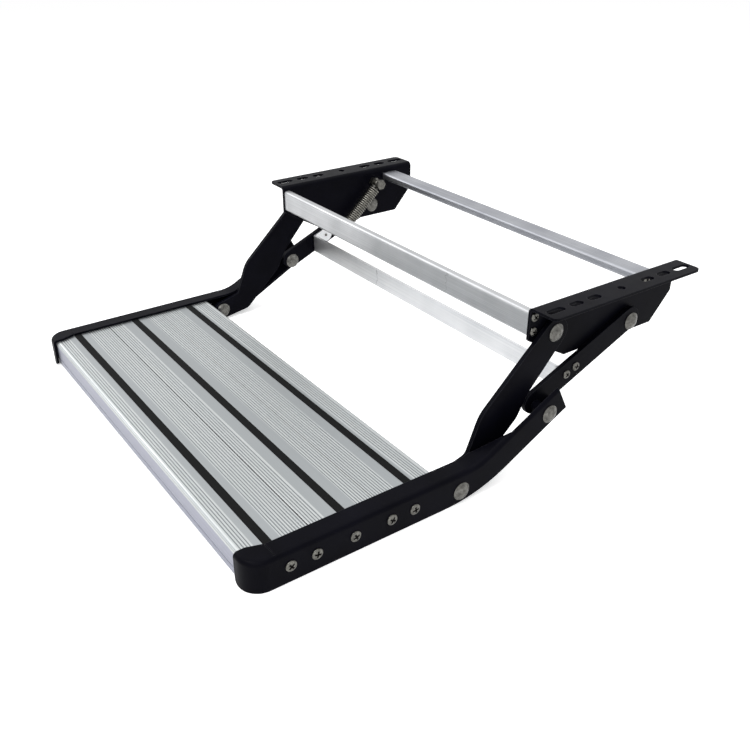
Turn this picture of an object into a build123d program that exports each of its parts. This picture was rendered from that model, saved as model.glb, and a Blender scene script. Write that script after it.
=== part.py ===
from build123d import *
import os
from math import acos, atan2, cos, degrees, hypot, radians, sin

# Folding caravan entry step, drawn stepped out and ready to stand on.
# X runs across the step, Y back under the caravan, Z up, in millimetres.
# The origin lies on the upper face of the fixing flanges, midway between the
# brackets and level with the round hole in each flange.

cut_margin = 1.0  # how far a cut runs past a surface

# Brackets: folded sheet, a fixing flange outwards and a web downwards
bracket_gap = 486.0  # between the inner faces of the two webs
bracket_sheet = 3.0
bracket_bend = 3.0  # inside radius of the fold
bracket_length = 224.0
flange_reach = 37.0  # web inner face to flange edge
flange_corner = 6.0
web_depth = 69.5
web_end_depth = 37.0  # depth left at the front and rear edges
web_front_slope = 56.0  # length of the sloped bottom edge at the front
web_rear_slope = 29.0
web_corner = 3.0

# Fixing holes along each flange
fixing_inset = 21.6  # web inner face to the row of holes
fixing_width = 9.0
short_slot_length = 18.0
long_slot_length = 24.0
inner_slot_at = 41.1
middle_slot_at = 67.4
outer_slot_at = 96.4

# Cross bars between the brackets
front_bar_depth = 10.0
front_bar_height = 28.0
front_bar_setback = 6.3  # bracket front edge to the middle of the bar
front_bar_drop = 6.0  # flange top to bar top
front_bar_pitch = 16.0  # between the two screws at an end
rear_bar_depth = 26.0
rear_bar_height = 10.0
rear_bar_setback = 40.0  # bracket rear edge to the middle of the bar
rear_bar_drop = 8.0
rear_bar_pitch = 14.0
bar_corner = 3.0

# Bar screws
bar_screw_radius = 2.5
bar_screw_depth = 16.0  # reach into the end of the bar
bar_head_radius = 5.0
bar_head_height = 3.2
bar_head_rim = 0.9
hole_beyond = 1.0  # drilled past the tip of a screw

# Pivots
front_pivot_y = -79.0
front_pivot_z = -34.0
rear_pivot_y = 40.0
rear_pivot_z = -54.0
rear_step_pivot_y = -100.0
rear_step_pivot_z = -113.5
front_step_pivot_y = -217.0
front_step_pivot_z = -162.0

# Links: flat plate, both pairs in one plane outside the webs
link_thickness = 5.0
link_standoff = 2.0  # web to link, filled by a washer at the pivot
rear_link_width = 26.0
rear_link_rise = 4.0  # plate centre line above the pivot line
front_link_top_radius = 16.0
front_link_toe_radius = 12.5
front_link_heel = 31.5  # rear edge behind the line through the pivots
front_link_heel_from = 93.0  # from the upper pivot down to the full width
front_link_waist = 22.0  # narrower width higher up, clear of the rear link
front_link_waist_from = 64.0
front_link_heel_to = 25.0  # from the lower pivot up to the heel
front_link_bend_from = 72.0  # from the lower pivot up to the bend of the front edge
front_link_throat_from = 32.0  # from the lower pivot up to the throat
front_link_throat = 3.0  # throat behind the line through the pivots
front_link_bend_radius = 40.0
front_link_throat_radius = 9.0
front_link_heel_radius = 14.0

# Rivets, washers and spacers
rivet_radius = 4.5
rivet_head_radius = 10.0
rivet_head_height = 4.2
rivet_head_rim = 0.6
running_clearance = 0.05  # pivot holes over their rivets
side_clearance = 0.1  # beside a turning plate
washer_radius = 11.0
spacer_radius = 6.3
open_gap = 0.4  # between the two halves of the rear step pivot

# Lower cross bar between the rear links: an upright strip, its ends turned back along the links
lower_bar_height = 24.0
lower_bar_sheet = 3.0
lower_bar_bend = 2.0  # inside radius of the turned ends
lower_bar_at = 109.7  # from the rear pivot along the link
lower_tab_width = 20.0
lower_screw_at = 95.4  # from the rear pivot along the link, midway between the two screws
lower_screw_pitch = 14.4
lower_screw_radius = 1.9
lower_screw_past = 1.5  # tip of a screw past the turned end

# Side arms: formed sheet round the ends of the tread
arm_standoff = 19.0  # link to arm, bridged by a spacer at each pivot
arm_sheet = 3.0
arm_bend = 2.0  # inside radius of the turned edges
arm_flange_clearance = 0.6  # link to the turned edges
arm_corner_radius = 21.0  # outside of the rounded front corner, seen from above
arm_wrap = 27.0  # outside of the arm to the end of its turned front
arm_wrap_corner = 5.0  # lower corner of the turned front
arm_flare_from = 12.0  # front of the arm back to where the top edge starts to narrow
arm_flare = 17.0  # length of the narrowing
arm_slit_at = 28.5  # front of the arm back to the slit where the top edge meets the corner
arm_slit = 0.8
arm_height = 35.0
arm_slope = 27.6  # rise of the rear end, degrees
arm_end_past_pivot = 21.5  # end of the arm beyond the rear step pivot
arm_end_width = 31.0
arm_below_pivot = 11.4  # lower edge below the rear step pivot, square to the slope
arm_bend_below = 170.0
arm_bend_above = 55.0
arm_top_fade = 48.0  # length over which the upper turned edge runs out
arm_top_fade_from = 4.0  # past the bend

# Tread: three extruded planks with a grip strip in each
tread_top = -144.0
tread_height = 30.0
tread_middle_y = -344.8
plank_width = 72.0
plank_gap = 0.4
plank_wall = 2.5
plank_nose = 4.0
front_line_drop = 22.0  # fine line along the front of the tread
front_line = 1.0
front_line_depth = 0.5
plank_foot = 3.0
plank_edge = 0.6
plank_end_relief = 1.5  # end bevel beyond the bend of the arm
plank_corner = 26.0  # front corners, cut to clear the rounded corners of the arms
nose_clearance = 0.3
strip_offset = 6.0  # outer strips beyond the middle of their planks
strip_width = 9.0
strip_groove_depth = 3.6
strip_proud = 0.5
strip_side_clearance = 0.1
strip_end_clearance = 0.4
rib_pitch = 3.0
rib_groove = 1.2
rib_depth = 0.6
front_bands = (8.0, 8.0)  # plain tread before and behind each grip strip
middle_bands = (14.0, 12.0)
rear_bands = (12.0, 3.5)
tread_screw_inset = 5.7  # joint between planks to the inner screws
tread_screw_pitch = 27.3  # inner to outer screws of a plank
tread_screw_drop = 14.0  # tread top to screw
tread_screw_radius = 2.6
tread_screw_depth = 22.0
tread_boss_radius = 5.0
tread_head_radius = 6.0
tread_head_height = 3.0
tread_head_crown = 2.25

# Tension spring on the left, from a bolt above the rear pivot to a stud in the rear link
spring_bolt_y = 41.9
spring_bolt_z = -18.5
spring_bolt_radius = 4.0
spring_bolt_flats = 13.0
spring_bolt_head = 5.3
spring_bolt_nut = 6.5
spring_bolt_tip = 1.0  # bolt past its outer nut
spring_stud_at = 67.6  # from the rear pivot along the link
spring_stud_radius = 4.0
spring_stud_head = 6.5  # radius
spring_stud_rim = 2.5
spring_stud_crown = 2.0
spring_standoff = 14.0  # web to the middle of the spring, clear of the rivet heads
spring_wire = 1.1  # radius
spring_coil = 7.2  # radius to the middle of the wire
spring_turns = 15
spring_ring = 5.3  # radius of the hooks, to the middle of the wire
spring_neck = 5.0  # hook to the first turn
spring_bend = 1.3  # thickened wire where a neck bends into the coil, radius
spring_side_gap = 1.2  # wire to the heads beside it

web_in = bracket_gap / 2
web_out = web_in + bracket_sheet
link_in = web_out + link_standoff
link_out = link_in + link_thickness
arm_in = link_out + arm_standoff
arm_out = arm_in + arm_sheet
arm_edge = link_out + arm_flange_clearance
front_pivot = (front_pivot_y, front_pivot_z)
rear_pivot = (rear_pivot_y, rear_pivot_z)
rear_step_pivot = (rear_step_pivot_y, rear_step_pivot_z)
front_step_pivot = (front_step_pivot_y, front_step_pivot_z)
rivet_size = (rivet_radius, rivet_head_radius, rivet_head_height, rivet_head_height - rivet_head_rim)
pieces = {}


def side_plane(x):
    return Plane(origin=(x, 0, 0), x_dir=(0, 1, 0), z_dir=(1, 0, 0))


def plate(face, x_from, x_to):
    # a flat (Y, Z) outline given its place and thickness along X
    return extrude(side_plane(x_from) * face, x_to - x_from)


def disc(centre, radius, x_from, x_to):
    return plate(Pos(*centre) * Circle(radius), x_from, x_to)


def outline(points, radii):
    return make_face(FilletPolyline(*points, radius=radii, close=True))


def corner_waste(radius):
    # what a rounded corner at the origin leaves of a square one
    return Pos(radius / 2, radius / 2) * Rectangle(radius, radius) - Pos(radius, radius) * Circle(radius)


def pair(right):
    # the right-hand piece and its mirror image, as one group
    return Compound(children=[right, mirror(right, about=Plane.YZ)])


def along(start, end):
    # the line of two points: its length, its direction and the normal on its right
    length = hypot(end[0] - start[0], end[1] - start[1])
    run = ((end[0] - start[0]) / length, (end[1] - start[1]) / length)
    return length, run, (-run[1], run[0])


def beside(start, run, normal, distance, offset):
    return (
        start[0] + run[0] * distance + normal[0] * offset,
        start[1] + run[1] * distance + normal[1] * offset,
    )


def touch(point, centre, radius, turn):
    # where a line from a point touches a circle, on the side given by turn
    distance = hypot(point[0] - centre[0], point[1] - centre[1])
    angle = atan2(point[1] - centre[1], point[0] - centre[0]) + turn * acos(radius / distance)
    return (centre[0] + radius * cos(angle), centre[1] + radius * sin(angle))


def domed(radius, height, crown):
    # a head seated on z = 0, its crown part of a ball
    ball = (radius**2 + crown**2) / (2 * crown)
    return Pos(0, 0, height / 2) * Cylinder(radius, height) & Pos(0, 0, height - ball) * Sphere(ball)


def headed(centre, radius, head_radius, head_height, crown, x_head, x_end):
    # a domed head seated at x_head and a shank from there to x_end
    facing = 1 if x_head > x_end else -1
    seat = Plane(origin=(x_head, *centre), x_dir=(0, 1, 0), z_dir=(facing, 0, 0))
    head = seat * domed(head_radius, head_height, crown)
    return head + disc(centre, radius, min(x_head, x_end), max(x_head, x_end))


def rivet(centre, x_inner, x_outer):
    tail = headed(centre, *rivet_size, x_inner, x_outer)
    return tail + headed(centre, *rivet_size, x_outer, x_inner)


def bracket():
    section = make_face(
        FilletPolyline(
            (web_in, -web_depth),
            (web_in, 0),
            (web_in + flange_reach, 0),
            (web_in + flange_reach, -bracket_sheet),
            (web_out, -bracket_sheet),
            (web_out, -web_depth),
            radius=[0, bracket_bend + bracket_sheet, 0, 0, bracket_bend, 0],
            close=True,
        )
    )
    front = -bracket_length / 2
    rear = bracket_length / 2
    body = extrude(Plane.XZ.offset(-rear) * section, bracket_length)
    shape = outline(
        [
            (front, 0),
            (rear, 0),
            (rear, -web_end_depth),
            (rear - web_rear_slope, -web_depth),
            (front + web_front_slope, -web_depth),
            (front, -web_end_depth),
        ],
        [0, 0, web_corner, web_corner, web_corner, web_corner],
    )
    body = body & plate(shape, web_in, web_in + flange_reach)
    corners = body.edges().filter_by(Axis.Z).group_by(Axis.X)[-1]
    body = fillet(corners, flange_corner)
    line = web_in + fixing_inset
    body -= Pos(line, 0, -bracket_sheet) * Cylinder(fixing_width / 2, bracket_sheet * 4)
    for at, length in (
        (inner_slot_at, short_slot_length),
        (middle_slot_at, short_slot_length),
        (outer_slot_at, long_slot_length),
    ):
        slot = SlotOverall(length, fixing_width, rotation=90)
        cutter = extrude(slot, bracket_sheet * 2, both=True)
        body -= Pos(line, at, 0) * cutter
        body -= Pos(line, -at, 0) * cutter
    for pivot in (front_pivot, rear_pivot):
        body -= disc(pivot, rivet_radius, web_in - cut_margin, web_out + cut_margin)
    for y, z in front_bar_screws_at + rear_bar_screws_at:
        body -= disc((y, z), bar_screw_radius, web_in - cut_margin, web_out + cut_margin)
    return body


front_bar_y = -bracket_length / 2 + front_bar_setback
front_bar_z = -front_bar_drop - front_bar_height / 2
rear_bar_y = bracket_length / 2 - rear_bar_setback
rear_bar_z = -rear_bar_drop - rear_bar_height / 2
front_bar_screws_at = [(front_bar_y, front_bar_z + s * front_bar_pitch / 2) for s in (-1, 1)]
rear_bar_screws_at = [(rear_bar_y + s * rear_bar_pitch / 2, rear_bar_z) for s in (-1, 1)]


def drill_ends(bar, places, radius, half_length, depth):
    for at in places:
        hole = disc(at, radius, half_length - depth - hole_beyond, half_length)
        bar -= hole
        bar -= mirror(hole, about=Plane.YZ)
    return bar


def cross_bar(centre, depth, height, screws):
    bar = plate(Pos(*centre) * RectangleRounded(depth, height, bar_corner), -web_in, web_in)
    return drill_ends(bar, screws, bar_screw_radius, web_in, bar_screw_depth)


def bar_screws(places, radius, x_seat, x_tip):
    size = (radius, bar_head_radius, bar_head_height, bar_head_height - bar_head_rim)
    screws = [headed(at, *size, x_seat, x_tip) for at in places]
    return Compound(children=screws + [mirror(one, about=Plane.YZ) for one in screws])


right_bracket = bracket()
pieces["right_bracket"] = right_bracket
pieces["left_bracket"] = mirror(right_bracket, about=Plane.YZ)
for name, centre, depth, height, places in (
    ("front", (front_bar_y, front_bar_z), front_bar_depth, front_bar_height, front_bar_screws_at),
    ("rear", (rear_bar_y, rear_bar_z), rear_bar_depth, rear_bar_height, rear_bar_screws_at),
):
    pieces[name + "_cross_bar"] = cross_bar(centre, depth, height, places)
    pieces[name + "_bar_screws"] = bar_screws(places, bar_screw_radius, web_out, web_in - bar_screw_depth)

# Links
front_length, front_run, front_normal = along(front_pivot, front_step_pivot)
rear_length, rear_run, rear_normal = along(rear_pivot, rear_step_pivot)


def front_link():
    def at(distance, offset):
        return beside(front_pivot, front_run, front_normal, distance, offset)

    bend = at(front_length - front_link_bend_from, -front_link_top_radius)
    throat = at(front_length - front_link_throat_from, front_link_throat)
    heel = at(front_length - front_link_heel_to, front_link_heel)
    wide = at(front_link_heel_from, front_link_heel)
    waist = at(front_link_waist_from, front_link_waist)
    points = [
        at(0, -front_link_top_radius),
        bend,
        throat,
        touch(throat, front_step_pivot, front_link_toe_radius, 1),
        touch(heel, front_step_pivot, front_link_toe_radius, -1),
        heel,
        wide,
        waist,
        touch(waist, front_pivot, front_link_top_radius, 1),
    ]
    radii = [0, front_link_bend_radius, front_link_throat_radius, 0, 0, front_link_heel_radius]
    radii += [front_link_heel_radius, front_link_heel_radius, 0]
    shape = outline(points, radii)
    shape += Pos(*front_pivot) * Circle(front_link_top_radius)
    shape += Pos(*front_step_pivot) * Circle(front_link_toe_radius)
    link = plate(shape, link_in, link_out)
    for pivot in (front_pivot, front_step_pivot):
        link -= disc(pivot, rivet_radius + running_clearance, link_in, link_out)
    return link


def rear_link():
    middle = beside(rear_pivot, rear_run, rear_normal, rear_length / 2, -rear_link_rise)
    angle = degrees(atan2(rear_run[1], rear_run[0]))
    shape = Pos(*middle) * SlotCenterToCenter(rear_length, rear_link_width, rotation=angle)
    link = plate(shape, link_in, link_out)
    link -= disc(rear_pivot, rivet_radius + running_clearance, link_in, link_out)
    link -= disc(rear_step_pivot, rivet_radius, link_in, link_out)
    for at in lower_screws_at:
        link -= disc(at, lower_screw_radius, link_in, link_out)
    return link


def lower_place(distance):
    return beside(rear_pivot, rear_run, rear_normal, distance, -rear_link_rise)


lower_screws_at = [lower_place(lower_screw_at + s * lower_screw_pitch / 2) for s in (-1, 1)]
lower_bar_y, lower_bar_z = lower_place(lower_bar_at)


def strip_outline(inset, front, rear):
    # the lower bar seen from above, or its inside
    reach = link_in - inset
    turn = lower_bar_bend + lower_bar_sheet - inset
    points = [(-reach, rear), (-reach, front + inset), (reach, front + inset), (reach, rear)]
    return outline(points, [0, turn, turn, 0])


def lower_bar():
    front = lower_bar_y - lower_bar_sheet / 2
    tab_length = lower_bar_at - lower_screw_at + lower_screw_pitch / 2
    tab_middle = lower_place(lower_bar_at - tab_length / 2)
    rear = lower_bar_y + tab_length + lower_tab_width
    strip = strip_outline(0, front, rear) - strip_outline(lower_bar_sheet, front, rear + cut_margin)
    turned = lower_bar_bend + lower_bar_sheet
    side = Pos(front + turned / 2, lower_bar_z) * Rectangle(turned, lower_bar_height)
    angle = degrees(atan2(rear_run[1], rear_run[0]))
    side += Pos(*tab_middle) * SlotCenterToCenter(tab_length, lower_tab_width, rotation=angle)
    bar = Pos(0, 0, lower_bar_z) * extrude(strip, tab_length + lower_tab_width, both=True)
    bar = bar & plate(side, -link_in, link_in)
    for at in lower_screws_at:
        bar -= disc(at, lower_screw_radius, -link_in, link_in)
    return bar


pieces["right_front_link"] = front_link()
pieces["left_front_link"] = mirror(pieces["right_front_link"], about=Plane.YZ)
pieces["right_rear_link"] = rear_link()
pieces["left_rear_link"] = mirror(pieces["right_rear_link"], about=Plane.YZ)
pieces["lower_cross_bar"] = lower_bar()
lower_tip = link_in - lower_bar_sheet - lower_screw_past
pieces["lower_bar_screws"] = bar_screws(lower_screws_at, lower_screw_radius, link_out, lower_tip)


# Pivots in the brackets
def washer(centre):
    ring = disc(centre, washer_radius, web_out, link_in - side_clearance)
    return ring - disc(centre, rivet_radius, web_out, link_in)


for name, pivot in (("front", front_pivot), ("rear", rear_pivot)):
    pieces[name + "_pivot_rivets"] = pair(rivet(pivot, web_in, link_out + side_clearance))
    pieces[name + "_pivot_washers"] = pair(washer(pivot))


# Tread
def plank(middle, strip_at, bands, screws, nose_side):
    top = tread_top
    half = plank_width / 2 - plank_gap / 2
    section = Pos(middle, top - tread_height / 2) * Rectangle(half * 2, tread_height)
    section = fillet(section.vertices(), plank_edge)
    if nose_side:
        outer = middle + nose_side * half
        nose = Pos(outer - nose_side * plank_nose, top - plank_nose) * Circle(plank_nose)
        block = Rectangle(plank_nose, plank_nose)
        section -= Pos(outer - nose_side * plank_nose / 2, top - plank_nose / 2) * block - nose
    if nose_side < 0:
        section -= Pos(outer, top - front_line_drop) * Rectangle(front_line_depth * 2, front_line)
    inner = Rectangle(half * 2 - plank_wall * 2, tread_height - plank_wall * 2)
    hollow = fillet(inner.vertices(), plank_nose - plank_wall if nose_side else plank_foot)
    section -= Pos(middle, top - tread_height / 2) * hollow
    channel_width = strip_width + plank_wall * 2
    channel_depth = strip_groove_depth + plank_wall
    channel = Rectangle(channel_width, channel_depth - rib_depth)
    section += Pos(strip_at, top - channel_depth / 2 - rib_depth) * channel
    for at in screws:
        section += Pos(at, top - tread_height / 2) * Rectangle(plank_wall, tread_height - plank_wall)
        section += Pos(at, top - tread_screw_drop) * Circle(tread_boss_radius)
    groove = Rectangle(strip_width + strip_side_clearance * 2, strip_groove_depth * 2)
    section -= Pos(strip_at, top) * groove
    flat_from = middle - half + (plank_nose if nose_side < 0 else plank_edge)
    flat_to = middle + half - (plank_nose if nose_side > 0 else plank_edge)
    ribs_to = strip_at - strip_width / 2 - bands[0]
    ribs_from = strip_at + strip_width / 2 + bands[1]
    for start, end in ((flat_from, ribs_to), (ribs_from, flat_to)):
        count = int((end - start) / rib_pitch)
        for i in range(count):
            at = (start + end) / 2 + (i - (count - 1) / 2) * rib_pitch
            section -= Pos(at, top) * Rectangle(rib_groove, rib_depth * 2)
    body = plate(section, -arm_in, arm_in)
    places = [(at, top - tread_screw_drop) for at in screws]
    body = drill_ends(body, places, tread_screw_radius, arm_in, tread_screw_depth)
    # the ends clear the inside of the arm's bends
    bevel_leg = arm_bend + plank_end_relief
    bevel = Polyline((0, 0), (-bevel_leg, 0), (0, -bevel_leg), close=True)
    cuts = [extrude(Plane.XZ * make_face(bevel), plank_width, both=True).moved(Pos(arm_in, middle, top))]
    if nose_side < 0:
        corner = extrude(mirror(corner_waste(plank_corner), about=Plane.YZ), tread_height, both=True)
        cuts.append(corner.moved(Pos(arm_in, middle - half, top - tread_height)))
    for cut in cuts:
        body -= cut
        body -= mirror(cut, about=Plane.YZ)
    return body


def grip_strip(at):
    bottom = tread_top - strip_groove_depth
    height = strip_groove_depth + strip_proud
    section = Pos(at, bottom + height / 2) * Rectangle(strip_width, height)
    half = arm_edge - strip_end_clearance
    strip = plate(section, -half, half)
    crests = strip.edges().filter_by(Axis.X).group_by(Axis.Z)[-1]
    return fillet(crests, strip_proud)


def tread_screw(at):
    place = (tread_middle_y + at, tread_top - tread_screw_drop)
    size = (tread_screw_radius, tread_head_radius, tread_head_height, tread_head_crown)
    return headed(place, *size, arm_out, arm_in - tread_screw_depth)


tread_screw_inner = plank_width / 2 + tread_screw_inset
tread_screw_outer = tread_screw_inner + tread_screw_pitch
tread_screws_at = [-tread_screw_outer, -tread_screw_inner, 0.0, tread_screw_inner, tread_screw_outer]
for name, side, bands in (("front", -1, front_bands), ("middle", 0, middle_bands), ("rear", 1, rear_bands)):
    centre = tread_middle_y + side * plank_width
    screws = [tread_middle_y + at for at in tread_screws_at if (at > 0) - (at < 0) == side]
    strip_at = centre + side * strip_offset
    pieces[name + "_tread_plank"] = plank(centre, strip_at, bands, screws, side)
    pieces[name + "_grip_strip"] = grip_strip(strip_at)
screws = [tread_screw(at) for at in tread_screws_at]
pieces["tread_screws"] = Compound(children=screws + [mirror(one, about=Plane.YZ) for one in screws])

# Side arms
arm_top = tread_top + arm_sheet
arm_bottom = arm_top - arm_height
arm_front = tread_middle_y - plank_width * 1.5 - nose_clearance - arm_sheet
arm_wrap_in = arm_out - arm_wrap
arm_run = (cos(radians(arm_slope)), sin(radians(arm_slope)))
arm_up = (-arm_run[1], arm_run[0])


def arm_corner(distance, rise):
    return beside(rear_step_pivot, arm_run, arm_up, distance, rise - arm_below_pivot)


def level_meet(point, height):
    # where the slope through a point reaches a height
    return (point[0] - (point[1] - height) / arm_run[1] * arm_run[0], height)


def arm_outline(inset, end):
    # the arm's side view, drawn in by the sheet for its inner surface
    low_end = arm_corner(end, inset)
    high_end = arm_corner(end, arm_end_width - inset)
    bottom = arm_bottom - inset
    points = [
        (arm_front + inset, bottom),
        level_meet(low_end, bottom),
        low_end,
        high_end,
        level_meet(high_end, arm_top - inset),
        (arm_front + inset, arm_top - inset),
    ]
    radii = [0, arm_bend_below - inset, 0, 0, arm_bend_above + inset, 0]
    return outline(points, radii)


def arm_block(inset):
    # the arm's outside as a block, or its inside, with a rounded front corner and a rounded upper edge
    block = plate(arm_outline(inset, arm_end_past_pivot + inset), arm_wrap_in - inset, arm_out - inset)
    front_edges = block.edges().filter_by(Axis.Z).group_by(Axis.Y)[0]
    block = fillet(front_edges.sort_by(Axis.X)[-1], arm_corner_radius - inset)
    return fillet(upper_edges(block), arm_bend + arm_sheet - inset)


def upper_edges(block):
    # the edges along the top of the outer side face, behind the front corner
    end = arm_corner(arm_end_past_pivot, arm_end_width / 2)
    kept = []
    for edge in block.faces().sort_by(Axis.X)[-1].edges():
        middle = edge @ 0.5
        away = (middle.Y - end[0], middle.Z - end[1])
        ahead = away[0] * arm_run[0] + away[1] * arm_run[1]
        above = away[0] * arm_up[0] + away[1] * arm_up[1]
        behind_corner = middle.Y > arm_front + arm_corner_radius + cut_margin
        if ahead < -cut_margin and above > 0 and middle.Z > arm_top - arm_height / 2 and behind_corner:
            kept.append(edge)
    return kept


def side_arm():
    arm = arm_block(0) - arm_block(arm_sheet)
    # the upper edge runs out along the slope
    bend = level_meet(arm_corner(0, arm_end_width), arm_top)
    slope = Plane(origin=(0, *rear_step_pivot), x_dir=(0, *arm_run), z_dir=(0, *arm_up))
    reach = hypot(bend[0] - rear_step_pivot_y, bend[1] - rear_step_pivot_z)
    fade_from = -reach + arm_top_fade_from
    past_end = arm_end_past_pivot + arm_sheet
    run_out = Polyline(
        (fade_from, -arm_edge + cut_margin),
        (fade_from + arm_top_fade, -arm_in),
        (past_end, -arm_in),
        (past_end, -arm_edge + cut_margin),
        close=True,
    )
    arm -= extrude(slope * make_face(run_out), arm_height * 2)
    # behind the front corner it is narrower, clear of the links
    flare_from = arm_front + arm_flare_from
    behind = rear_step_pivot_y + past_end
    narrow = Polyline(
        (arm_wrap_in, flare_from),
        (arm_edge, flare_from + arm_flare),
        (arm_edge, behind),
        (arm_wrap_in - cut_margin, behind),
        (arm_wrap_in - cut_margin, flare_from),
        close=True,
    )
    arm -= Pos(0, 0, arm_bottom - cut_margin) * extrude(make_face(narrow), arm_height * 4)
    slit = Box((arm_in - arm_edge) * 2, arm_slit, arm_sheet * 2 + cut_margin)
    arm -= Pos(arm_edge, arm_front + arm_slit_at, arm_top) * slit
    foot = extrude(Plane.XZ * corner_waste(arm_wrap_corner), arm_sheet + cut_margin, both=True)
    arm -= foot.moved(Pos(arm_wrap_in, arm_front, arm_bottom))
    for pivot in (front_step_pivot, rear_step_pivot):
        arm -= disc(pivot, rivet_radius, arm_in - cut_margin, arm_out + cut_margin)
    for at in tread_screws_at:
        hole = (tread_middle_y + at, tread_top - tread_screw_drop)
        arm -= disc(hole, tread_screw_radius, arm_in - cut_margin, arm_out + cut_margin)
    return arm


right_arm = side_arm()
pieces["right_side_arm"] = right_arm
pieces["left_side_arm"] = mirror(right_arm, about=Plane.YZ)


# Pivots in the side arms
def spacer(centre, x_from):
    return disc(centre, spacer_radius, x_from, arm_in) - disc(centre, rivet_radius, x_from, arm_in)


pieces["front_step_rivets"] = pair(rivet(front_step_pivot, link_in - side_clearance, arm_out))
pieces["front_step_spacers"] = pair(spacer(front_step_pivot, link_out + side_clearance))
pieces["rear_step_rivets"] = pair(headed(rear_step_pivot, *rivet_size, arm_out, link_out + open_gap))
pieces["rear_step_spacers"] = pair(spacer(rear_step_pivot, link_out + open_gap))
pieces["rear_link_studs"] = pair(headed(rear_step_pivot, *rivet_size, link_in, link_out))


# Tension spring
def hexagon_bar(x_from, x_to):
    shape = RegularPolygon(spring_bolt_flats / 2, 6, major_radius=False)
    return plate(Pos(spring_bolt_y, spring_bolt_z) * shape, x_from, x_to)


spring_bolt = (spring_bolt_y, spring_bolt_z)
spring_stud = lower_place(spring_stud_at)
spring_x = -web_in + spring_standoff
head_at = spring_x + spring_wire + spring_side_gap
nut_at = -web_out - spring_bolt_nut
shank = disc(spring_bolt, spring_bolt_radius, nut_at - spring_bolt_tip, head_at)
pieces["spring_bolt"] = hexagon_bar(head_at, head_at + spring_bolt_head) + shank
nuts = hexagon_bar(nut_at, -web_out) + hexagon_bar(-web_in, -web_in + spring_bolt_nut)
pieces["spring_bolt_nuts"] = nuts - shank
pieces["left_bracket"] -= shank
stud_size = (spring_stud_radius, spring_stud_head, spring_stud_rim, spring_stud_crown)
stud = headed(spring_stud, *stud_size, -link_out, head_at)
pieces["left_rear_link"] -= stud
pieces["spring_stud"] = stud + disc(spring_stud, spring_stud_head, head_at, head_at + spring_stud_rim)


def tension_spring():
    length, run, normal = along(spring_bolt, spring_stud)
    reach = spring_ring + spring_neck
    body = length - reach * 2
    axis = Plane(origin=(spring_x, *spring_bolt), x_dir=(0, *normal), z_dir=(0, *run))
    coil = Helix(body / spring_turns, body, spring_coil)
    wire = Plane(origin=coil @ 0, z_dir=coil % 0) * Circle(spring_wire)
    spring = Pos(0, 0, reach) * sweep(wire, path=coil)
    for at, toward in ((0, 1), (length, -1)):
        ring = Plane(origin=(0, 0, at), x_dir=(0, 0, 1), z_dir=(0, 1, 0))
        spring += ring * Torus(spring_ring, spring_wire)
        neck = Line((0, 0, at + toward * spring_ring), (spring_coil, 0, at + toward * reach))
        spring += Pos(*(neck @ 1)) * Sphere(spring_bend)
        spring += sweep(Plane(origin=neck @ 0, z_dir=neck % 0) * Circle(spring_wire), path=neck)
    return axis * spring


pieces["tension_spring"] = tension_spring()

os.makedirs("parts", exist_ok=True)
for name, piece in pieces.items():
    export_step(piece, f"parts/{name}.step")
    print(name, round(piece.volume), [round(v, 1) for v in piece.bounding_box().size])
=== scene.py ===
import bpy
import math
from mathutils import Matrix, Vector


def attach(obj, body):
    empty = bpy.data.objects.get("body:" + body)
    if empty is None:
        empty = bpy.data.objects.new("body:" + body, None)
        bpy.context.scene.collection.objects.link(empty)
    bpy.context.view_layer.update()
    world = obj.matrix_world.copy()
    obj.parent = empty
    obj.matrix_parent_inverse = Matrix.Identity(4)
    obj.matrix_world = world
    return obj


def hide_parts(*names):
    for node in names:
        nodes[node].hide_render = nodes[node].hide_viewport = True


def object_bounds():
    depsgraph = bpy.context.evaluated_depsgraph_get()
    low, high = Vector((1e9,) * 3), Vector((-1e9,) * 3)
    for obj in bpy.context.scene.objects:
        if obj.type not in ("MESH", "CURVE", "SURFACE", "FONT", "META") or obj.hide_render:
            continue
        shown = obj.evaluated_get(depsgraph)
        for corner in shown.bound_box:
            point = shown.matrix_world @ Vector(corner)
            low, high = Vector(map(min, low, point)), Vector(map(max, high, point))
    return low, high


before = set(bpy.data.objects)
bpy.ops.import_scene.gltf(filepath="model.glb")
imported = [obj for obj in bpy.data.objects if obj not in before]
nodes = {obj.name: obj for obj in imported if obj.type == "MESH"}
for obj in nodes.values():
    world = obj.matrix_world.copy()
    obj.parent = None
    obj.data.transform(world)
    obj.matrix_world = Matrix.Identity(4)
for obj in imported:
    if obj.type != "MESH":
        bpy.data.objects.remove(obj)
cadBox = [list(corner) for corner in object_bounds()]
mm = 0.001
bpy.context.scene.view_settings.view_transform = "Standard"
print("frame loaded:", len(nodes), "CAD nodes")


# camera, from the photograph's viewing side
photoCamera = {
    "place": (0.793, -0.691, 0.362),
    "azimuth": 54.6,  # degrees from the front towards the right-hand side
    "elevation": 29.3,
    "lens": 41.5,  # mm
    "sensor": 36,  # mm
    "nearest": 0.01,  # m
}


def addCamera(look):
    lens = bpy.data.cameras.new("photo_camera")
    lens.lens = look["lens"]
    lens.sensor_width = look["sensor"]
    lens.clip_start = look["nearest"]
    camera = bpy.data.objects.new("photo_camera", lens)
    camera.location = look["place"]
    camera.rotation_euler = (math.radians(90 - look["elevation"]), 0, math.radians(look["azimuth"]))
    bpy.context.collection.objects.link(camera)
    bpy.context.scene.camera = camera


addCamera(photoCamera)
print("camera set")


# material helpers
edgeSamples = 6  # of the rounding that a shader gives to an edge


def hexColour(code):
    parts = [int(code[i:i + 2], 16) / 255 for i in (1, 3, 5)]
    return tuple(c / 12.92 if c <= 0.04045 else ((c + 0.055) / 1.055) ** 2.4 for c in parts) + (1.0,)


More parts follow.
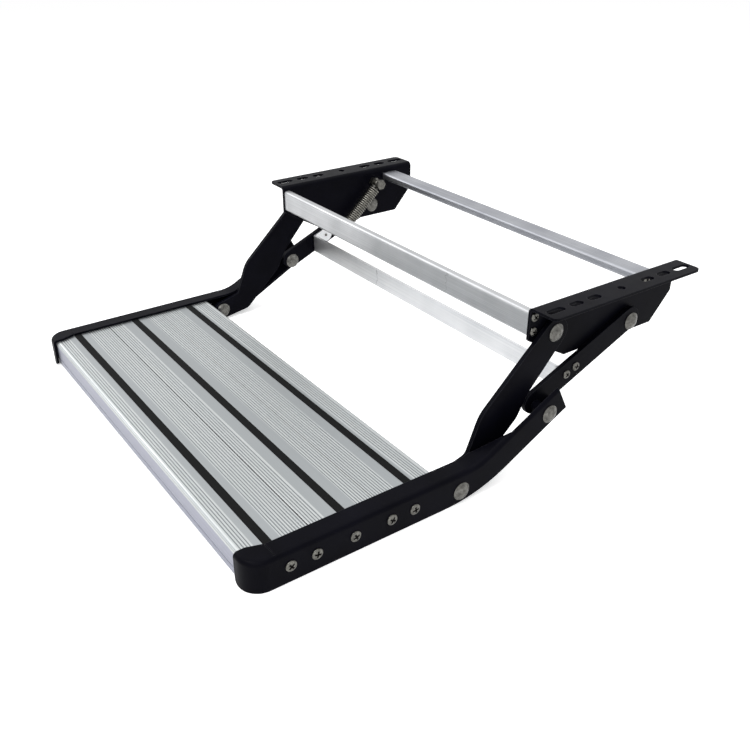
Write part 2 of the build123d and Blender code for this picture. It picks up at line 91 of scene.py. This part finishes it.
def addNode(tree, kind, links=None, stops=None, **settings):
    made = tree.nodes.new(kind)
    for name, value in settings.items():
        setattr(made, name, value)
    for name, value in (links or {}).items():
        if isinstance(value, bpy.types.NodeSocket):
            tree.links.new(value, made.inputs[name])
        else:
            made.inputs[name].default_value = value
    for i, (at, value) in enumerate(stops or []):
        if i > 1:
            made.color_ramp.elements.new(at)
        made.color_ramp.elements[i].position = at
        made.color_ramp.elements[i].color = value if isinstance(value, tuple) else (value, value, value, 1)
    return made


def newMaterial(name):
    made = bpy.data.materials.new(name)
    made.use_nodes = True
    made.node_tree.nodes.clear()
    tree = made.node_tree
    shader = addNode(tree, "ShaderNodeBsdfPrincipled")
    addNode(tree, "ShaderNodeOutputMaterial", {"Surface": shader.outputs[0]})
    place = addNode(tree, "ShaderNodeTexCoord").outputs["Object"]
    return made, tree, shader, place


def joinShader(tree, shader, colour, rough, bump):
    tree.links.new(colour, shader.inputs["Base Color"])
    tree.links.new(rough.outputs[0], shader.inputs["Roughness"])
    tree.links.new(bump.outputs[0], shader.inputs["Normal"])


def dieLines(tree, place, look):  # fine lines along X, as a die leaves them
    across = 1 / (look["line"] * mm)
    stretch = addNode(tree, "ShaderNodeMapping",
                      {"Vector": place, "Scale": (look["linesPerMetre"], across, across)})
    return addNode(tree, "ShaderNodeTexNoise", {"Vector": stretch.outputs[0], "Scale": 1, "Detail": 3})


def finishLined(tree, shader, look, lines, tone, colour):  # bare metal, smoother where it is lighter
    rough = addNode(tree, "ShaderNodeMapRange",
                    {"Value": tone.outputs[0], "To Min": look["rough"][1], "To Max": look["rough"][0]})
    edge = addNode(tree, "ShaderNodeBevel", {"Radius": look["edge"] * mm}, samples=edgeSamples)
    bump = addNode(tree, "ShaderNodeBump",
                   {"Height": lines.outputs["Fac"], "Normal": edge.outputs[0],
                    "Strength": look["lineStrength"], "Distance": look["lineDepth"] * mm})
    shader.inputs["Metallic"].default_value = 1
    joinShader(tree, shader, colour.outputs[2], rough, bump)


# Powder-coated sheet steel: sprayed dry and baked, so it is an even soft black with a fine orange peel,
# and a grey painted highlight along folded and cut edges. Sizes in mm.
powderCoat = {
    "dark": "#05050a", "light": "#0a0a12", "toneSpan": (0.3, 0.7), "patch": 45,
    "paintedEdgeHighlight": "#5a5b61", "highlightPatch": 6, "edge": 0.8,
    "highlightFrom": 0.98, "highlightTo": 0.75,  # cosines of the turn at an edge, where the grey starts and is full
    "highlightMost": 0.8,
    "gloss": 12, "rough": (0.32, 0.46), "specular": 0.035,
    "peel": 0.9, "peelStrength": 0.12, "peelDepth": 0.1,
}


def powderCoatedSteel(look):
    coat, tree, shader, place = newMaterial("powder_coated_steel")
    patch = addNode(tree, "ShaderNodeTexNoise",
                    {"Vector": place, "Scale": 1 / (look["patch"] * mm), "Detail": 3})
    tone = addNode(tree, "ShaderNodeValToRGB", {"Fac": patch.outputs["Fac"]},
                   [(look["toneSpan"][0], hexColour(look["dark"])),
                    (look["toneSpan"][1], hexColour(look["light"]))])
    edge = addNode(tree, "ShaderNodeBevel", {"Radius": look["edge"] * mm}, samples=edgeSamples)
    face = addNode(tree, "ShaderNodeNewGeometry")
    turn = addNode(tree, "ShaderNodeVectorMath", {0: edge.outputs[0], 1: face.outputs["Normal"]},
                   operation="DOT_PRODUCT")
    # painted highlight: grey along the edges where the shading normal turns, broken up by noise
    highlightPatch = addNode(tree, "ShaderNodeTexNoise", {"Vector": place, "Scale": 1 / (look["highlightPatch"] * mm), "Detail": 4})
    edgeMask = addNode(tree, "ShaderNodeMapRange",
                       {"Value": turn.outputs["Value"], "From Min": look["highlightFrom"],
                        "From Max": look["highlightTo"], "To Max": look["highlightMost"]})
    paintedHighlight = addNode(tree, "ShaderNodeMath", {0: edgeMask.outputs[0], 1: highlightPatch.outputs["Fac"]},
                   operation="MULTIPLY")
    mixed = addNode(tree, "ShaderNodeMix",
                    {0: paintedHighlight.outputs[0], 6: tone.outputs[0], 7: hexColour(look["paintedEdgeHighlight"])}, data_type="RGBA")
    gloss = addNode(tree, "ShaderNodeTexNoise",
                    {"Vector": place, "Scale": 1 / (look["gloss"] * mm), "Detail": 4})
    rough = addNode(tree, "ShaderNodeMapRange",
                    {"Value": gloss.outputs["Fac"], "To Min": look["rough"][0], "To Max": look["rough"][1]})
    peel = addNode(tree, "ShaderNodeTexNoise",
                   {"Vector": place, "Scale": 1 / (look["peel"] * mm), "Detail": 2})
    bump = addNode(tree, "ShaderNodeBump",
                   {"Height": peel.outputs["Fac"], "Normal": edge.outputs[0],
                    "Strength": look["peelStrength"], "Distance": look["peelDepth"] * mm})
    shader.inputs["Specular IOR Level"].default_value = look["specular"]
    joinShader(tree, shader, mixed.outputs[2], rough, bump)
    return coat


# Extruded aluminium treads, left as they come from the die: pale grey metal with fine lines along the length,
# drawn coarser than the real ones so that they show. The grooves between the ribs are painted shade, darker
# towards their floor, and the plain bands beside the strips are a little darker than the ribs. The faces below
# the top are painted a lavender grey as painted shade. The joints between the planks are drawn darker, wider
# than the real gap so that they show. Sizes and places in mm.
treadMetal = {
    "dark": "#b8bcbd", "light": "#ced1d1", "toneSpan": (0.35, 0.65), "rough": (0.34, 0.46), "edge": 0.25,
    "line": 0.7, "linesPerMetre": 6, "lineStrength": 0.1, "lineDepth": 0.05,
    "top": -144, "front": -452.8, "depth": 216,
    "band": "#a2a6a8", "bands": [(-435.3, -410.3), (-363.3, -328.3), (-283.3, -258.8)],
    "grooveShade": "#8b8f91", "grooveFrom": 0.15, "grooveDepth": 0.6, "grooveMargin": 0.2,
    # painted shade: a lavender grey for the faces below the top
    "side": "#9a9ca8", "sideDrop": 4,
    "joint": "#3c3e40", "joints": [(-381.0, 0.7, 1.0), (-308.6, 0.5, 0.5)],  # place, half width, strength
}


def extrudedAluminium(look):
    metal, tree, shader, place = newMaterial("extruded_aluminium")
    lines = dieLines(tree, place, look)
    tone = addNode(tree, "ShaderNodeMapRange",
                   {"Value": lines.outputs["Fac"], "From Min": look["toneSpan"][0],
                    "From Max": look["toneSpan"][1]})
    ribs = addNode(tree, "ShaderNodeMix",
                   {0: tone.outputs[0], 6: hexColour(look["dark"]), 7: hexColour(look["light"])},
                   data_type="RGBA")
    axes = addNode(tree, "ShaderNodeSeparateXYZ", {0: place})
    along = addNode(tree, "ShaderNodeMapRange",
                    {"Value": axes.outputs["Y"], "From Min": look["front"] * mm,
                     "From Max": (look["front"] + look["depth"]) * mm})
    stops = [(0.0, 0.0)]
    for start, end in look["bands"]:
        stops += [((start - look["front"]) / look["depth"], 1.0), ((end - look["front"]) / look["depth"], 0.0)]
    plain = addNode(tree, "ShaderNodeValToRGB", {"Fac": along.outputs[0]}, stops)
    plain.color_ramp.interpolation = "CONSTANT"
    # painted shade: the rib grooves are drawn darker towards their floor
    grooveFloor = look["top"] - look["grooveDepth"]
    deep = addNode(tree, "ShaderNodeMapRange",
                   {"Value": axes.outputs["Z"], "From Min": (look["top"] - look["grooveFrom"]) * mm,
                    "From Max": grooveFloor * mm})
    above = addNode(tree, "ShaderNodeMath",
                    {0: axes.outputs["Z"], 1: (grooveFloor - look["grooveMargin"]) * mm},
                    operation="GREATER_THAN")
    grooveShade = addNode(tree, "ShaderNodeMath", {0: deep.outputs[0], 1: above.outputs[0]}, operation="MULTIPLY")
    low = addNode(tree, "ShaderNodeMath",
                  # painted shade: faces more than sideDrop below the top get the lavender grey
                  {0: axes.outputs["Z"], 1: (look["top"] - look["sideDrop"]) * mm}, operation="LESS_THAN")
    layers = [(plain, "band"), (grooveShade, "grooveShade"), (low, "side")]
    # the joints between the planks are drawn darker, wider than the real gap
    for at, half, strength in look["joints"]:
        near = addNode(tree, "ShaderNodeMath", {0: axes.outputs["Y"], 1: at * mm, 2: half * mm},
                       operation="COMPARE")
        darkJoint = addNode(tree, "ShaderNodeMath", {0: near.outputs[0], 1: strength}, operation="MULTIPLY")
        layers.append((darkJoint, "joint"))
    colour = ribs
    for mask, name in layers:  # each tone over the ones before it
        colour = addNode(tree, "ShaderNodeMix",
                         {0: mask.outputs[0], 6: colour.outputs[2], 7: hexColour(look[name])},
                         data_type="RGBA")
    finishLined(tree, shader, look, lines, tone, colour)
    return metal


# Drawn aluminium bars: long drawing lines, coarser than the real ones so that they show, and dull rounded
# corners. The lower bar is painted brightest, as painted light, and the rear bar is painted darker, a grey with
# a cast of lavender, as painted shade. A fine scratch crosses the front bar and a smudge the lower one. Sizes
# and places in mm; a mark is given by its place, half its width and its tone.
barDrawing = {
    "line": 0.9, "linesPerMetre": 4, "lineStrength": 0.1, "lineDepth": 0.05, "cloud": 60,
    "toneSpan": (0.75, 1.25), "waver": 7, "wander": 20,
}
frontBar = {**barDrawing, "name": "drawn_aluminium", "dark": "#adafb1", "light": "#cbccce",
            "rough": (0.32, 0.44), "edge": 0.8, "marks": [(123, 0.4, "#6f7072")]}
# painted shade: a darker copy of the bar metal
rearBar = {**barDrawing, "name": "painted_shade_aluminium", "dark": "#92949b", "light": "#b2b4b9",
           "rough": (0.34, 0.46), "edge": 0.8, "marks": []}
# painted light: a brighter copy of the bar metal
lowerBar = {**barDrawing, "name": "painted_light_aluminium", "dark": "#d8dadc", "light": "#edeeef",
            "rough": (0.36, 0.48), "edge": 0.5, "marks": [(-75, 1.0, "#9a9b9d")]}


def drawnAluminium(look):
    metal, tree, shader, place = newMaterial(look["name"])
    lines = dieLines(tree, place, look)
    cloud = addNode(tree, "ShaderNodeTexNoise",
                    {"Vector": place, "Scale": 1 / (look["cloud"] * mm), "Detail": 3})
    both = addNode(tree, "ShaderNodeMath", {0: lines.outputs["Fac"], 1: cloud.outputs["Fac"]}, operation="ADD")
    tone = addNode(tree, "ShaderNodeMapRange",
                   {"Value": both.outputs[0], "From Min": look["toneSpan"][0], "From Max": look["toneSpan"][1]})
    colour = addNode(tree, "ShaderNodeMix",
                     {0: tone.outputs[0], 6: hexColour(look["dark"]), 7: hexColour(look["light"])},
                     data_type="RGBA")
    for at, half, markTone in look["marks"]:  # a wavering line across the bar
        axes = addNode(tree, "ShaderNodeSeparateXYZ", {0: place})
        waver = addNode(tree, "ShaderNodeTexNoise",
                        {"Vector": place, "Scale": 1 / (look["waver"] * mm), "Detail": 3})
        wander = addNode(tree, "ShaderNodeMath",
                         {0: waver.outputs["Fac"], 1: look["wander"] * mm, 2: axes.outputs["X"]},
                         operation="MULTIPLY_ADD")
        near = addNode(tree, "ShaderNodeMath", {0: wander.outputs[0], 1: at * mm, 2: half * mm},
                       operation="COMPARE")
        faint = addNode(tree, "ShaderNodeMath", {0: near.outputs[0], 1: cloud.outputs["Fac"]},
                        operation="MULTIPLY")
        colour = addNode(tree, "ShaderNodeMix",
                         {0: faint.outputs[0], 6: colour.outputs[2], 7: hexColour(markTone)},
                         data_type="RGBA")
    finishLined(tree, shader, look, lines, tone, colour)
    return metal


# Moulded rubber insert: dull black, a fine grain from the mould, drawn coarser than the real one, and dust
# lying in it as a faint grey. Sizes in mm.
rubberLook = {
    "dark": "#070808", "light": "#101112", "toneSpan": (0.35, 0.75), "dust": 9, "rough": (0.6, 0.85),
    "specular": 0.1, "grain": 0.5, "grainStrength": 0.3, "grainDepth": 0.1,
}


def mouldedRubber(look):
    rubber, tree, shader, place = newMaterial("moulded_rubber")
    grain = addNode(tree, "ShaderNodeTexNoise",
                    {"Vector": place, "Scale": 1 / (look["grain"] * mm), "Detail": 3})
    dust = addNode(tree, "ShaderNodeTexNoise",
                   {"Vector": place, "Scale": 1 / (look["dust"] * mm), "Detail": 5})
    tone = addNode(tree, "ShaderNodeValToRGB", {"Fac": dust.outputs["Fac"]},
                   [(look["toneSpan"][0], hexColour(look["dark"])),
                    (look["toneSpan"][1], hexColour(look["light"]))])
    rough = addNode(tree, "ShaderNodeMapRange",
                    {"Value": dust.outputs["Fac"], "To Min": look["rough"][0], "To Max": look["rough"][1]})
    bump = addNode(tree, "ShaderNodeBump",
                   {"Height": grain.outputs["Fac"], "Strength": look["grainStrength"],
                    "Distance": look["grainDepth"] * mm})
    shader.inputs["Specular IOR Level"].default_value = look["specular"]
    joinShader(tree, shader, tone.outputs[0], rough, bump)
    return rubber


# Zinc-plated steel fasteners: dull grey, clouded by the plating bath, smoother on rolled heads than on washers.
# The pits of the plating are drawn coarser than the real ones. Sizes in mm.
platedGrain = {"toneSpan": (0.3, 0.7), "pits": 0.6, "pitStrength": 0.06, "pitDepth": 0.05}
rivetZinc = {**platedGrain, "name": "zinc_plated_rivet", "dark": "#504f4c", "light": "#7a7975",
             "rough": (0.2, 0.34), "cloud": 4}
screwZinc = {**platedGrain, "name": "zinc_plated_screw", "dark": "#54534f", "light": "#7c7b76",
             "rough": (0.24, 0.38), "cloud": 2.5}
# painted shade: the cross recess is drawn near black where its shadow falls
recessShade = {**platedGrain, "name": "painted_recess_shade", "dark": "#0f0e0d", "light": "#232120",
               "rough": (0.5, 0.7), "cloud": 1}
washerZinc = {**platedGrain, "name": "zinc_plated_washer", "dark": "#8d8e8e", "light": "#aaabab",
              "rough": (0.34, 0.5), "cloud": 3}
springWire = {**platedGrain, "name": "drawn_spring_wire", "dark": "#6a6862", "light": "#908e87",
              "rough": (0.24, 0.4), "cloud": 5}


def platedSteel(look):
    metal, tree, shader, place = newMaterial(look["name"])
    cloud = addNode(tree, "ShaderNodeTexNoise",
                    {"Vector": place, "Scale": 1 / (look["cloud"] * mm), "Detail": 4})
    colour = addNode(tree, "ShaderNodeValToRGB", {"Fac": cloud.outputs["Fac"]},
                     [(look["toneSpan"][0], hexColour(look["dark"])),
                      (look["toneSpan"][1], hexColour(look["light"]))])
    rough = addNode(tree, "ShaderNodeMapRange",
                    {"Value": cloud.outputs["Fac"], "From Min": look["toneSpan"][0],
                     "From Max": look["toneSpan"][1], "To Min": look["rough"][1], "To Max": look["rough"][0]})
    pits = addNode(tree, "ShaderNodeTexNoise",
                   {"Vector": place, "Scale": 1 / (look["pits"] * mm), "Detail": 2})
    bump = addNode(tree, "ShaderNodeBump",
                   {"Height": pits.outputs["Fac"], "Strength": look["pitStrength"],
                    "Distance": look["pitDepth"] * mm})
    shader.inputs["Metallic"].default_value = 1
    joinShader(tree, shader, colour.outputs[0], rough, bump)
    return metal


finishes = {
    "black_steel": powderCoatedSteel(powderCoat),
    "front_bar": drawnAluminium(frontBar),
    "rear_bar": drawnAluminium(rearBar),
    "lower_bar": drawnAluminium(lowerBar),
    "tread_aluminium": extrudedAluminium(treadMetal),
    "grip_rubber": mouldedRubber(rubberLook),
    "rivet_steel": platedSteel(rivetZinc),
    "screw_steel": platedSteel(screwZinc),
    "screw_recess": platedSteel(recessShade),
    "washer_steel": platedSteel(washerZinc),
    "spring_steel": platedSteel(springWire),
}
nodeFinish = {  # by the last word of a node's name
    "bracket": "black_steel", "link": "black_steel", "arm": "black_steel", "spacers": "black_steel",
    "plank": "tread_aluminium", "strip": "grip_rubber",
    "rivets": "rivet_steel", "studs": "rivet_steel", "stud": "rivet_steel", "washers": "washer_steel",
    "screws": "screw_steel", "bolt": "screw_steel", "nuts": "screw_steel", "spring": "spring_steel",
}
barFinish = {"front_cross_bar": "front_bar", "rear_cross_bar": "rear_bar", "lower_cross_bar": "lower_bar"}


def dress(piece, finish):
    piece.data.materials.clear()
    piece.data.materials.append(finishes[finish])


for name, node in nodes.items():
    dress(node, barFinish.get(name) or nodeFinish[name.split("_")[-1]])
print("materials on", len(nodes), "nodes")


# modelling helpers
steep = 0.9  # how squarely a face looks up or down to be picked


def looksUp(face):
    return face.normal.z > steep


def looksDown(face):
    return face.normal.z < -steep


def deselect():
    if bpy.context.object and bpy.context.object.mode != "OBJECT":
        bpy.ops.object.mode_set(mode="OBJECT")
    bpy.ops.object.select_all(action="DESELECT")


def pickFaces(piece, test):
    bpy.ops.object.mode_set(mode="OBJECT")
    for part in (piece.data.vertices, piece.data.edges, piece.data.polygons):
        part.foreach_set("select", [False] * len(part))
    for face in piece.data.polygons:
        face.select = test(face)
    bpy.ops.object.mode_set(mode="EDIT")
    bpy.ops.mesh.select_mode(type="FACE")


def placeCopy(pattern, name, turn):
    copy = bpy.data.objects.new(name, pattern.data.copy())
    bpy.context.collection.objects.link(copy)
    copy.data.transform(turn)
    return copy


def joinAll(copies, name):
    deselect()
    for copy in copies:
        copy.select_set(True)
    bpy.context.view_layer.objects.active = copies[0]
    bpy.ops.object.join()
    copies[0].name = name
    return copies[0]


# Pan-head screw with a cross recess, modelled along +Z with the seat of its head at the origin.
screwShape = {
    "sides": 40,
    "skirt": 0.35,  # upright rim, as a share of the head's height
    "domeSteps": 6, "domeAngle": 66,
    "recessDepth": 0.6, "recessLength": 1.75, "recessWidth": 0.46,  # shares of the head's height and radius
    "recessTaper": 0.45,
    "smoothAngle": 28,
}


def screwHead(look, radius, height, shank, depth):
    deselect()
    skirt = height * look["skirt"]
    bpy.ops.mesh.primitive_cylinder_add(vertices=look["sides"], radius=radius, depth=skirt,
                                        location=(0, 0, skirt / 2))
    screw = bpy.context.object
    bpy.ops.object.transform_apply(location=True, rotation=True, scale=True)
    pickFaces(screw, looksUp)
    dome = math.radians(look["domeAngle"])
    was, low = radius, 0
    for step in range(1, look["domeSteps"] + 1):  # the crown, ring by ring
        lean = step / look["domeSteps"] * dome
        now, high = radius * math.cos(lean), (height - skirt) * math.sin(lean) / math.sin(dome)
        bpy.ops.mesh.inset(thickness=was - now, depth=0)
        bpy.ops.transform.translate(value=(0, 0, high - low))
        was, low = now, high
    pickFaces(screw, looksDown)
    bpy.ops.mesh.inset(thickness=radius - shank, depth=0)
    bpy.ops.mesh.extrude_region_move(TRANSFORM_OT_translate={"value": (0, 0, -depth)})
    bpy.ops.object.mode_set(mode="OBJECT")
    dress(screw, "screw_steel")
    return screw


def recessCutter(look, radius, height, turn):
    deselect()
    bpy.ops.mesh.primitive_cube_add(size=1, location=(0, 0, height))
    cutter = bpy.context.object
    deep = height * look["recessDepth"]
    cutter.scale = (radius * look["recessLength"], radius * look["recessWidth"], 2 * deep)
    cutter.rotation_euler = (0, 0, math.radians(turn))
    bpy.ops.object.transform_apply(location=True, rotation=True, scale=True)
    pickFaces(cutter, looksDown)
    bpy.ops.transform.resize(value=(look["recessTaper"], look["recessTaper"], 1), center_override=(0, 0, 0))
    bpy.ops.object.mode_set(mode="OBJECT")
    dress(cutter, "screw_recess")
    return cutter


def panHeadScrew(look, radius, height, shank, depth):
    screw = screwHead(look, radius, height, shank, depth)
    cutters = [recessCutter(look, radius, height, turn) for turn in (0, 90)]
    for cutter in cutters:
        deselect()
        screw.select_set(True)
        bpy.context.view_layer.objects.active = screw
        cut = screw.modifiers.new("recess", "BOOLEAN")
        cut.object = cutter
        cut.solver = "EXACT"
        cut.material_mode = "TRANSFER"  # the recess keeps its painted shade, a near-black finish
        bpy.ops.object.modifier_apply(modifier=cut.name)
        bpy.data.objects.remove(cutter)
    bpy.ops.object.shade_smooth_by_angle(angle=math.radians(look["smoothAngle"]))
    return screw


# screws, each with its seat (mm) on the right-hand side; the left side has the same, turned round
screwSets = {
    "tread_screws": {"body": "step", "seat": 275, "radius": 5.8, "height": 2.0, "shank": 2.4, "depth": 14,
                     "at": [(-413.8, -158), (-386.5, -158), (-344.8, -158), (-303.1, -158), (-275.8, -158)]},
    "front_bar_screws": {"body": "frame", "seat": 246, "radius": 4.9, "height": 2.2, "shank": 2.4, "depth": 8,
                         "at": [(-105.7, -12), (-105.7, -28)]},
    "rear_bar_screws": {"body": "frame", "seat": 246, "radius": 4.9, "height": 2.2, "shank": 2.4, "depth": 8,
                        "at": [(65, -13), (79, -13)]},
    "lower_bar_screws": {"body": "rear_links", "seat": 253, "radius": 4.9, "height": 2.2, "shank": 1.8,
                         "depth": 9, "at": [(-55.98, -90.45), (-42.73, -84.81)]},
}
screwClock = {"start": 20, "step": 37, "side": 19, "period": 90}  # degrees that the recesses are turned to
toRight = Matrix.Rotation(math.radians(90), 4, "Y")  # +Z of the pattern to +X
halfTurn = Matrix.Rotation(math.radians(180), 4, "Z")


def addScrews():
    for setName, look in screwSets.items():
        sizes = [look[size] * mm for size in ("radius", "height", "shank", "depth")]
        pattern = panHeadScrew(screwShape, *sizes)
        copies = []
        for i, (y, z) in enumerate(look["at"]):
            for side in (1, -1):
                angle = screwClock["start"] + i * screwClock["step"] + side * screwClock["side"]
                turn = toRight @ Matrix.Rotation(math.radians(angle % screwClock["period"]), 4, "Z")
                if side < 0:
                    turn = halfTurn @ turn
                where = Matrix.Translation((side * look["seat"] * mm, y * mm, z * mm))
                copies.append(placeCopy(pattern, setName + "_copy", where @ turn))
        bpy.data.objects.remove(pattern)
        screws = joinAll(copies, setName + "_headed")
        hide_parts(setName)
        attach(screws, look["body"])
        print("screws:", setName, len(copies))


addScrews()


# Tension spring: one wire from the hook round the bolt, through the open coils, to the hook round the stud.
springShape = {  # mm and degrees
    "bolt": (-229, 41.9, -18.5), "stud": (-229, -23.78, -76.76),
    "ring": 5.3, "neck": 5.0, "coil": 7.2, "wire": 1.05, "turns": 21, "pointsPerTurn": 16,
    "hookPoints": 15, "hookFrom": -130, "hookStep": 21.5,
    "wireSides": 3, "smoothness": 3, "curveOrder": 4,
}


def springPoints(look):
    bolt, stud = Vector(look["bolt"]), Vector(look["stud"])
    run = (stud - bolt).normalized()
    aside = Vector((1, 0, 0))
    rise = run.cross(aside)
    length = (stud - bolt).length
    reach = look["ring"] + look["neck"]
    ring, coil = look["ring"], look["coil"]

    def spot(x, y, z):
        return (bolt + aside * x + rise * y + run * z) * mm

    hook = [math.radians(look["hookFrom"] + i * look["hookStep"]) for i in range(look["hookPoints"])]
    points = [spot(0, ring * math.sin(lean), -ring * math.cos(lean)) for lean in hook]
    count = look["turns"] * look["pointsPerTurn"]
    for i in range(count + 1):
        lean = 2 * math.pi * i / look["pointsPerTurn"] - math.pi / 2
        along = reach + (length - 2 * reach) * i / count
        points.append(spot(coil * math.cos(lean), coil * math.sin(lean), along))
    points += [spot(0, ring * math.sin(lean), length + ring * math.cos(lean)) for lean in reversed(hook)]
    return points


def addSpring(look):
    points = springPoints(look)
    line = bpy.data.curves.new("spring_line", "CURVE")
    line.dimensions = "3D"
    line.bevel_depth = look["wire"] * mm
    line.bevel_resolution = look["wireSides"]
    line.resolution_u = look["smoothness"]
    line.use_fill_caps = True
    path = line.splines.new("NURBS")
    path.points.add(len(points) - 1)
    for point, at in zip(path.points, points):
        point.co = (*at, 1)
    path.order_u = look["curveOrder"]
    path.use_endpoint_u = True
    curve = bpy.data.objects.new("spring_line", line)
    bpy.context.collection.objects.link(curve)
    deselect()
    curve.select_set(True)
    bpy.context.view_layer.objects.active = curve
    bpy.ops.object.convert(target="MESH")
    spring = bpy.context.object
    spring.name = "wound_spring"
    bpy.ops.object.shade_smooth()
    dress(spring, "spring_steel")
    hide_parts("tension_spring")
    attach(spring, "spring")
    print("spring:", len(spring.data.vertices), "vertices")


addSpring(springShape)


# White paper floor and soft studio light. The paper's fibres are drawn coarser than real ones. The floor
# glows a little to the camera and in mirrors, so that it is white and still keeps the object's shadow.
studio = {
    "floorGap": 0.5, "floorSize": 60, "floorTone": "#fafafa", "floorGlow": 0.5, "floorMirror": 0.15,
    "fibre": 3, "fibreStrength": 0.02,
    "skyTone": "#ffffff", "skyLight": 0.5,
    "lamps": [  # name, place, size and power
        ("overhead", (0.1, 0.1, 1.7), 1.6, 12),
        ("front_right", (1.3, -1.2, 1.0), 1.2, 8),
        ("left", (-1.5, -0.8, 1.0), 1.2, 8),
        ("key", (0.2, -1.3, 1.5), 0.5, 12),
    ],
}


def addFloor(look):
    deselect()
    bpy.ops.mesh.primitive_plane_add(size=look["floorSize"],
                                     location=(0, 0, cadBox[0][2] - look["floorGap"] * mm))
    floor = bpy.context.object
    floor.name = "studio_floor"
    bpy.ops.object.transform_apply(location=True)
    paper = bpy.data.materials.new("white_paper_sweep")
    paper.use_nodes = True
    tree = paper.node_tree
    tree.nodes.clear()
    place = addNode(tree, "ShaderNodeTexCoord").outputs["Object"]
    fibre = addNode(tree, "ShaderNodeTexNoise",
                    {"Vector": place, "Scale": 1 / (look["fibre"] * mm), "Detail": 3})
    matt = addNode(tree, "ShaderNodeBsdfDiffuse", {"Color": hexColour(look["floorTone"])})
    grain = addNode(tree, "ShaderNodeBump", {"Height": fibre.outputs["Fac"], "Strength": look["fibreStrength"]})
    tree.links.new(grain.outputs[0], matt.inputs["Normal"])
    seen = addNode(tree, "ShaderNodeLightPath")
    mirrored = addNode(tree, "ShaderNodeMath", {0: seen.outputs["Is Glossy Ray"], 1: look["floorMirror"]},
                       operation="MULTIPLY")
    share = addNode(tree, "ShaderNodeMath", {0: seen.outputs["Is Camera Ray"], 1: look["floorGlow"],
                                             2: mirrored.outputs[0]}, operation="MULTIPLY_ADD")
    glow = addNode(tree, "ShaderNodeEmission", {"Strength": share.outputs[0]})
    both = addNode(tree, "ShaderNodeAddShader", {0: matt.outputs[0], 1: glow.outputs[0]})
    addNode(tree, "ShaderNodeOutputMaterial", {"Surface": both.outputs[0]})
    floor.data.materials.append(paper)


def addLight(look):
    world = bpy.data.worlds.new("studio")
    bpy.context.scene.world = world
    world.use_nodes = True
    tree = world.node_tree
    tree.nodes.clear()
    seen = addNode(tree, "ShaderNodeLightPath")
    mirror = addNode(tree, "ShaderNodeMath",
                     {0: seen.outputs["Is Camera Ray"], 1: seen.outputs["Is Glossy Ray"]}, operation="MAXIMUM")
    clear = addNode(tree, "ShaderNodeMath", {0: mirror.outputs[0], 1: seen.outputs["Is Transmission Ray"]},
                    operation="MAXIMUM")
    level = addNode(tree, "ShaderNodeMapRange",
                    {"Value": clear.outputs[0], "To Min": look["skyLight"], "To Max": 1})
    sky = addNode(tree, "ShaderNodeBackground",
                  {"Color": hexColour(look["skyTone"]), "Strength": level.outputs[0]})
    addNode(tree, "ShaderNodeOutputWorld", {"Surface": sky.outputs[0]})
    middle = (Vector(cadBox[0]) + Vector(cadBox[1])) / 2
    for name, place, size, power in look["lamps"]:
        lamp = bpy.data.lights.new(name, "AREA")
        lamp.size = size
        lamp.energy = power
        holder = bpy.data.objects.new(name, lamp)
        holder.location = place
        holder.rotation_euler = (middle - Vector(place)).to_track_quat("-Z", "Y").to_euler()
        bpy.context.collection.objects.link(holder)


addFloor(studio)
addLight(studio)
print("floor and light set")
